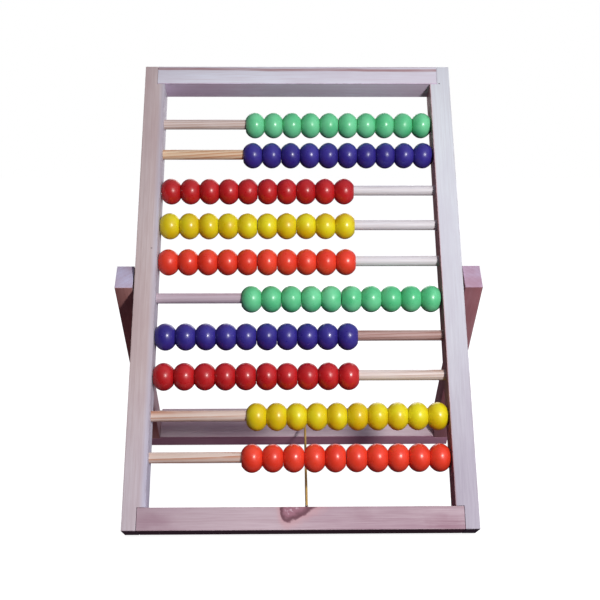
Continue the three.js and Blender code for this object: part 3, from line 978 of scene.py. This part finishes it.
def make_washer(side_name, material):
    """The ring between a leg and its stile."""
    node = f"washer_{side_name}"
    name = f"ring_{node}"
    low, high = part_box(node)
    half, eased = (high.x - low.x) / 2, WASHER_ROUNDING
    outer, bore = WASHER_DIAMETER / 2, WASHER_BORE / 2
    profile = [(bore, -half + eased), (bore + eased, -half), (outer - eased, -half),
               (outer, -half + eased), (outer, half - eased), (outer - eased, half),
               (bore + eased, half), (bore, half - eased)]
    mesh = turned_mesh(name, profile, 40, Matrix.Translation(centre(node)), closed=True)
    new_piece(name, mesh, material, "front_frame", node)


def make_tack(node, body, space, material):
    """A domed tack that stands out of the wood by the thickness of the cord."""
    name = f"pin_{node}"
    low, high = node_span(node, space)
    length = high - low
    middle = space.inverted() @ centre(node)
    top = space @ Matrix.Translation((middle.x, middle.y, high))
    upright = top @ Matrix.Rotation(-math.pi / 2, 4, "Y")
    head, shank, thick = TACK_HEAD / 2, TACK_SHANK / 2, TACK_HEAD_THICKNESS
    profile = [(0, -length), (shank, TACK_POINT - length), (shank, -thick),
               (head * 0.9, -thick), (head, -thick * 0.8)]
    profile += domed(head, -thick * 0.8, thick * 0.8)
    new_piece(name, turned_mesh(name, profile, 24, upright), material, body, node)


def make_metal():
    """Nails of dull steel, and bright screws, washers and tacks."""
    bright = steel("steel_bright", srgb(196, 196, 194), srgb(140, 138, 134))
    dull = steel("steel_dull", srgb(150, 148, 146), srgb(96, 88, 82))
    for rail in ("bottom", "top"):
        for side in ("left", "right"):
            for depth in ("back", "front"):
                make_corner_nail(rail, side, depth, dull)
    for side in ("left", "right"):
        make_stand_nail(side, dull)
        make_screw(side, bright)
        make_washer(side, bright)
    make_tack("tack_front", "front_frame", FRAME_SPACE, bright)
    make_tack("tack_back", "stand", STAND_SPACE, bright)


# ---------- cord ----------

def smooth_path(points, step):
    """Points about one step apart on a smooth curve through the given ones."""
    given = [Vector(p) for p in points]
    padded = [2 * given[0] - given[1]] + given + [2 * given[-1] - given[-2]]
    made = []
    for a, b, c, d in zip(padded, padded[1:], padded[2:], padded[3:]):
        count = max(2, round((c - b).length / step))
        for i in range(count):
            t = i / count
            made.append(0.5 * (2 * b + (c - a) * t + (2 * a - 5 * b + 4 * c - d) * t ** 2
                               + (3 * b - a - 3 * c + d) * t ** 3))
    return made + [given[-1]]


def strand_radius(angle):
    """Outline of three round strands laid together, with a groove between each two."""
    from_strand = (angle + math.pi / 3) % (2 * math.pi / 3) - math.pi / 3
    offset = CORD_DIAMETER * STRAND_OFFSET
    strand = CORD_DIAMETER * STRAND_RADIUS
    return (offset * math.cos(from_strand)
            + math.sqrt(strand ** 2 - (offset * math.sin(from_strand)) ** 2))


def strand_ring(build, point, along, twist, sides=18):
    """The strands' outline round a point of the path, turned by the twist."""
    side = along.cross(Vector((0, 0, 1))).normalized()
    if side.length < 0.5:
        side = ACROSS.copy()
    lift = side.cross(along)
    ring = []
    for k in range(sides):
        angle = 2 * math.pi * k / sides
        direction = side * math.cos(angle + twist) + lift * math.sin(angle + twist)
        ring.append(build.verts.new(point + direction * strand_radius(angle)))
    return ring


def twisted_mesh(name, path, pitch, closed=False):
    """Twine along a path: the strands' outline turns once every pitch."""
    build = bmesh.new()
    rings = []
    travelled = 0.0
    for i, point in enumerate(path):
        before, after = path[max(i - 1, 0)], path[min(i + 1, len(path) - 1)]
        if closed:
            before, after = path[i - 1], path[(i + 1) % len(path)]
        if i:
            travelled += (point - path[i - 1]).length
        along = (after - before).normalized()
        rings.append(strand_ring(build, point, along, 2 * math.pi * travelled / pitch))
    for one, two in zip(rings, rings[1:]):
        join_rings(build, one, two)
    if closed:
        join_rings(build, rings[-1], rings[0])
    else:
        build.faces.new(rings[0])
        build.faces.new(rings[-1])
    bmesh.ops.recalc_face_normals(build, faces=build.faces)
    mesh = bpy.data.meshes.new(name)
    build.to_mesh(mesh)
    build.free()
    return mesh


def twine():
    """Golden twine: fine fibres in two tones, darker where it has been handled."""
    shader = Shader("twine")
    place = shader.place()
    fine = shader.noise(place, 3800, 4, 0.7)
    soiled = shader.noise(place, 120, 3, 0.6)
    colour = shader.blend(shader.span(fine, 0.3, 0.7), srgb(176, 130, 34), srgb(226, 184, 78))
    colour = shader.blend(shader.span(soiled, 0.4, 0.8, 0, 0.4), colour, srgb(128, 92, 36))
    rough = shader.span(fine, 0.3, 0.7, 0.7, 0.9)
    normal = shader.bump(fine, 0.6, 0.15 * MM)
    return shader.finish_with(
        Base_Color=colour, Roughness=rough, Normal=normal, Sheen_Weight=0.25)


def tie_path(foot, space):
    """A turn of cord round a tack's shank, lying on the wood."""
    radius = TACK_SHANK / 2 + TIE_CLEARANCE + CORD_DIAMETER / 2
    side, back, up = space.to_3x3().col
    middle = foot + up * (CORD_DIAMETER / 2 + TIE_CLEARANCE)
    count = 26
    angles = [2 * math.pi * i / count for i in range(count)]
    return [middle + side * radius * math.cos(a) + back * radius * math.sin(a) for a in angles]


def tack_foot(node, space):
    """Where a tack comes out of the wood."""
    low, _ = node_span(node, space)
    middle = space.inverted() @ centre(node)
    return space @ Vector((middle.x, middle.y, low + TACK_IN_WOOD))


def make_cord():
    """The taut cord between the two tacks, with a turn of it round each tack."""
    material = twine()
    path = smooth_path(CORD_POINTS, CORD_STEP)
    cord = bpy.data.objects.new("twine_cord", twisted_mesh("twine_cord", path, CORD_PITCH))
    bpy.context.scene.collection.objects.link(cord)
    cord.data.materials.append(material)
    cord.data.shade_smooth()
    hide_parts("cord")
    for end, body, space in (("front", "front_frame", FRAME_SPACE), ("back", "stand", STAND_SPACE)):
        turn = tie_path(tack_foot(f"tack_{end}", space), space)
        mesh = twisted_mesh(f"twine_tie_{end}", turn, TIE_PITCH, closed=True)
        new_piece(f"twine_tie_{end}", mesh, material, body)
    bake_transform(cord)


# ---------- floor ----------

def make_floor():
    """A wide sheet of white paper on a light table. It shows shadows but throws no light."""
    shader = Shader("paper")
    place = shader.place()
    mottle = shader.noise(place, 14, 4, 0.6)
    colour = shader.blend(shader.span(mottle, 0.3, 0.7), srgb(150, 150, 151), srgb(156, 156, 157))
    fine = shader.noise(place, 900, 3, 0.6)
    material = shader.finish_with(
        Base_Color=colour, Roughness=0.95, Normal=shader.bump(fine, 0.05, 0.1 * MM),
        Emission_Color=(1, 1, 1, 1), Emission_Strength=0.93, IOR=1.1)
    build = bmesh.new()
    bmesh.ops.create_grid(build, x_segments=8, y_segments=8, size=12)
    mesh = bpy.data.meshes.new("floor")
    build.to_mesh(mesh)
    build.free()
    mesh.materials.append(material)
    floor = bpy.data.objects.new("floor", mesh)
    bpy.context.scene.collection.objects.link(floor)
    floor.visible_diffuse = False
    floor.visible_glossy = False


make_camera()
make_cord()
make_light()
make_floor()
make_sticks()
make_rods()
make_beads()
make_metal()
